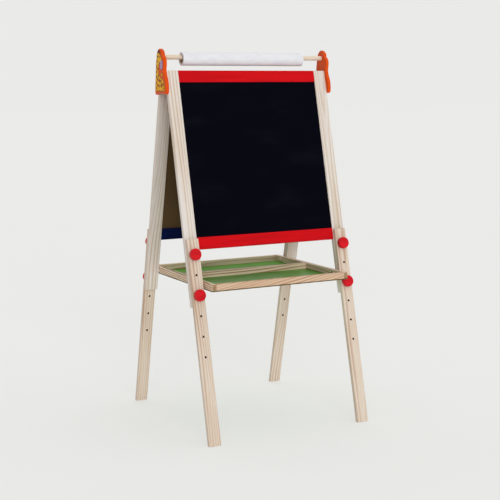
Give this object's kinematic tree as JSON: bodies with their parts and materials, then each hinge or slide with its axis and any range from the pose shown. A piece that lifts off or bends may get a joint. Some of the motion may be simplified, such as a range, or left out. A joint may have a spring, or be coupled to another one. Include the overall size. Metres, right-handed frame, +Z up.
{
  "type": "kids easel",
  "caption": "Double-sided folding kids easel with chalkboard and whiteboard, height-adjustable legs, a divided supply tray and a paper roll on a dowel between animal-shaped brackets.",
  "frame": {"origin": "on the floor, below the middle of the easel", "axes": "+Z up, -Y is the chalkboard side, +X to the right of a person who faces the chalkboard"},
  "size_m": [0.574, 0.584, 1.1502],
  "materials": {
    "pine": "planed, clear matt lacquer",
    "tray_pine": "planed, clear matt lacquer",
    "beech": "sanded",
    "red_paint": "red satin paint on pine",
    "blue_paint": "dark blue satin paint on pine",
    "knob_paint": "red gloss paint on turned wood",
    "chalkboard_paint": "matt black chalkboard paint on hardboard",
    "white_lacquer_hardboard": "white dry wipe lacquer outside, bare hardboard inside",
    "orange_lacquer": "gloss orange lacquer with a printed figure on the outer face",
    "green_lacquer": "gloss green lacquer on hardboard",
    "steel": "bright zinc",
    "dark_steel": "dark phosphate",
    "cap_plastic": "light beige",
    "nylon": "natural",
    "paper": "plain white",
    "card": "plain brown"
  },
  "bodies": {
    "front_frame": {"front_stile_left": "pine", "front_stile_right": "pine", "front_top_rail": "red_paint", "front_bottom_rail": "red_paint", "chalkboard_panel": "chalkboard_paint", "front_joint_dowels": "beech", "bracket_left": "orange_lacquer", "bracket_right": "orange_lacquer", "bracket_pins": "beech", "fold_pivot_pins": "steel", "leg_front_left": "pine", "leg_front_right": "pine", "front_inserts": "steel"},
    "rear_frame": {"rear_stile_left": "pine", "rear_stile_right": "pine", "rear_top_rail": "blue_paint", "rear_bottom_rail": "blue_paint", "whiteboard_panel": "white_lacquer_hardboard", "rear_joint_dowels": "beech", "leg_rear_left": "pine", "leg_rear_right": "pine", "rear_inserts": "steel", "tray_pivot_screws": "steel", "tray_pivot_caps": "cap_plastic", "tray_spacers": "nylon"},
    "tray": {"tray_rail_left": "tray_pine", "tray_rail_right": "tray_pine", "tray_front_rail": "tray_pine", "tray_rear_rail": "tray_pine", "tray_divider": "tray_pine", "tray_floor_panel": "green_lacquer", "tray_frame_nails": "steel", "tray_floor_nails": "steel", "tray_front_screws": "dark_steel"},
    "roll_dowel": {"roll_dowel": "beech"},
    "paper_roll": {"paper_roll": "paper", "roll_core": "card"},
    "knob_front_left_upper": {"knob_front_left_upper": "knob_paint", "stud_front_left_upper": "steel"},
    "knob_front_left_lower": {"knob_front_left_lower": "knob_paint", "stud_front_left_lower": "steel"},
    "knob_front_right_upper": {"knob_front_right_upper": "knob_paint", "stud_front_right_upper": "steel"},
    "knob_front_right_lower": {"knob_front_right_lower": "knob_paint", "stud_front_right_lower": "steel"},
    "knob_rear_left_upper": {"knob_rear_left_upper": "knob_paint", "stud_rear_left_upper": "steel"},
    "knob_rear_left_lower": {"knob_rear_left_lower": "knob_paint", "stud_rear_left_lower": "steel"},
    "knob_rear_right_upper": {"knob_rear_right_upper": "knob_paint", "stud_rear_right_upper": "steel"},
    "knob_rear_right_lower": {"knob_rear_right_lower": "knob_paint", "stud_rear_right_lower": "steel"}
  },
  "joints": [
    {"name": "frame_fold", "type": "hinge", "parent": "front_frame", "child": "rear_frame", "pos_m": [0, 0.02073, 1.06277], "axis": [-1, 0, 0], "range_deg": [0, 26]},
    {"name": "tray_swing", "type": "hinge", "parent": "rear_frame", "child": "tray", "pos_m": [0, 0.16429, 0.45551], "axis": [1, 0, 0], "range_deg": [0, 101]},
    {"name": "dowel_spin", "type": "hinge", "parent": "front_frame", "child": "roll_dowel", "pos_m": [0, 0, 1.12518], "axis": [1, 0, 0], "continuous": true},
    {"name": "roll_spin", "type": "hinge", "parent": "front_frame", "child": "paper_roll", "pos_m": [0, 0, 1.12023], "axis": [1, 0, 0], "continuous": true},
    {"name": "unscrew_front_left_upper", "type": "slide", "parent": "front_frame", "child": "knob_front_left_upper", "axis": [0, -0.9732, 0.23], "range_m": [0, 0.024]},
    {"name": "unscrew_front_left_lower", "type": "slide", "parent": "front_frame", "child": "knob_front_left_lower", "axis": [0, -0.9732, 0.23], "range_m": [0, 0.024]},
    {"name": "unscrew_front_right_upper", "type": "slide", "parent": "front_frame", "child": "knob_front_right_upper", "axis": [0, -0.9732, 0.23], "range_m": [0, 0.024]},
    {"name": "unscrew_front_right_lower", "type": "slide", "parent": "front_frame", "child": "knob_front_right_lower", "axis": [0, -0.9732, 0.23], "range_m": [0, 0.024]},
    {"name": "unscrew_rear_left_upper", "type": "slide", "parent": "rear_frame", "child": "knob_rear_left_upper", "axis": [0, 0.9732, 0.23], "range_m": [0, 0.024]},
    {"name": "unscrew_rear_left_lower", "type": "slide", "parent": "rear_frame", "child": "knob_rear_left_lower", "axis": [0, 0.9732, 0.23], "range_m": [0, 0.024]},
    {"name": "unscrew_rear_right_upper", "type": "slide", "parent": "rear_frame", "child": "knob_rear_right_upper", "axis": [0, 0.9732, 0.23], "range_m": [0, 0.024]},
    {"name": "unscrew_rear_right_lower", "type": "slide", "parent": "rear_frame", "child": "knob_rear_right_lower", "axis": [0, 0.9732, 0.23], "range_m": [0, 0.024]}
  ],
  "couplings": [
    {"joint": "tray_swing", "follows": "frame_fold", "ratio": 3.884}
  ]
}
